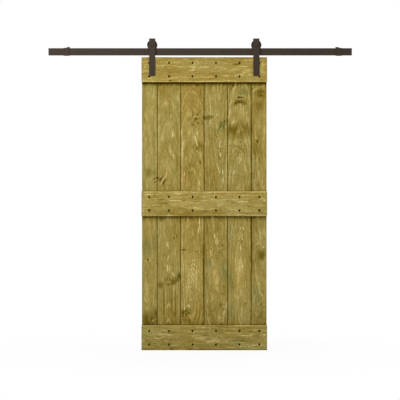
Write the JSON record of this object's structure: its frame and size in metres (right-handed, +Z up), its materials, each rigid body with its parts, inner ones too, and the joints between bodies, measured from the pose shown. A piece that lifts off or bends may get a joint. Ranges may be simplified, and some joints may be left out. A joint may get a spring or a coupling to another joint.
{
  "type": "sliding barn door",
  "caption": "Planked wooden barn door with crosswise battens, hung on bent strap hangers with grooved wheels that roll along a flat wall track between end stops.",
  "frame": {"origin": "on the wall plane, at the middle of the track's row of wall screws", "axes": "+X along the track to the right as seen from the room, +Y into the wall, +Z up"},
  "size_m": [2.211, 0.1255, 2.2704],
  "materials": {
    "plank_wood": "olive stain, satin",
    "batten_wood": "olive stain, satin",
    "track_steel": "satin powder coat",
    "wheel_steel": "satin powder coat",
    "bolt_steel": "satin coat",
    "black_screw": "black phosphate",
    "bearing_steel": "ground",
    "pad_rubber": "matte"
  },
  "bodies": {
    "track": {"rail": "track_steel", "standoff_1": "track_steel", "standoff_2": "track_steel", "standoff_3": "track_steel", "standoff_4": "track_steel", "standoff_5": "track_steel", "wall_screws": "bolt_steel", "left_stop_collar": "track_steel", "left_stop_pad": "pad_rubber", "left_stop_screws": "black_screw", "right_stop_collar": "track_steel", "right_stop_pad": "pad_rubber", "right_stop_screws": "black_screw"},
    "door": {"plank_1": "plank_wood", "plank_2": "plank_wood", "plank_3": "plank_wood", "plank_4": "plank_wood", "plank_5": "plank_wood", "plank_6": "plank_wood", "top_batten": "batten_wood", "middle_batten": "batten_wood", "bottom_batten": "batten_wood", "top_batten_screws": "black_screw", "middle_batten_screws": "black_screw", "bottom_batten_screws": "black_screw", "left_hanger_strap": "track_steel", "left_strap_bolts": "bolt_steel", "left_strap_washers": "bolt_steel", "left_strap_nuts": "bolt_steel", "left_axle_bolt": "bolt_steel", "left_axle_nut": "bolt_steel", "left_front_axle_bush": "bearing_steel", "left_rear_axle_bush": "bearing_steel", "left_bearing_inner_ring": "bearing_steel", "right_hanger_strap": "track_steel", "right_strap_bolts": "bolt_steel", "right_strap_washers": "bolt_steel", "right_strap_nuts": "bolt_steel", "right_axle_bolt": "bolt_steel", "right_axle_nut": "bolt_steel", "right_front_axle_bush": "bearing_steel", "right_rear_axle_bush": "bearing_steel", "right_bearing_inner_ring": "bearing_steel"},
    "left_wheel": {"left_wheel": "wheel_steel", "left_bearing_outer_ring": "bearing_steel", "left_retaining_ring": "bearing_steel"},
    "right_wheel": {"right_wheel": "wheel_steel", "right_bearing_outer_ring": "bearing_steel", "right_retaining_ring": "bearing_steel"}
  },
  "joints": [
    {"name": "door_slide", "type": "slide", "parent": "track", "child": "door", "axis": [1, 0, 0], "range_m": [-0.565, 0.542]},
    {"name": "left_wheel_spin", "type": "hinge", "parent": "door", "child": "left_wheel", "pos_m": [-0.349, -0.041, 0.0493], "axis": [0, 1, 0], "continuous": true},
    {"name": "right_wheel_spin", "type": "hinge", "parent": "door", "child": "right_wheel", "pos_m": [0.409, -0.041, 0.0493], "axis": [0, 1, 0], "continuous": true}
  ],
  "couplings": [
    {"joint": "left_wheel_spin", "follows": "door_slide", "rad_per_m": 44.444},
    {"joint": "right_wheel_spin", "follows": "door_slide", "rad_per_m": 44.444}
  ]
}
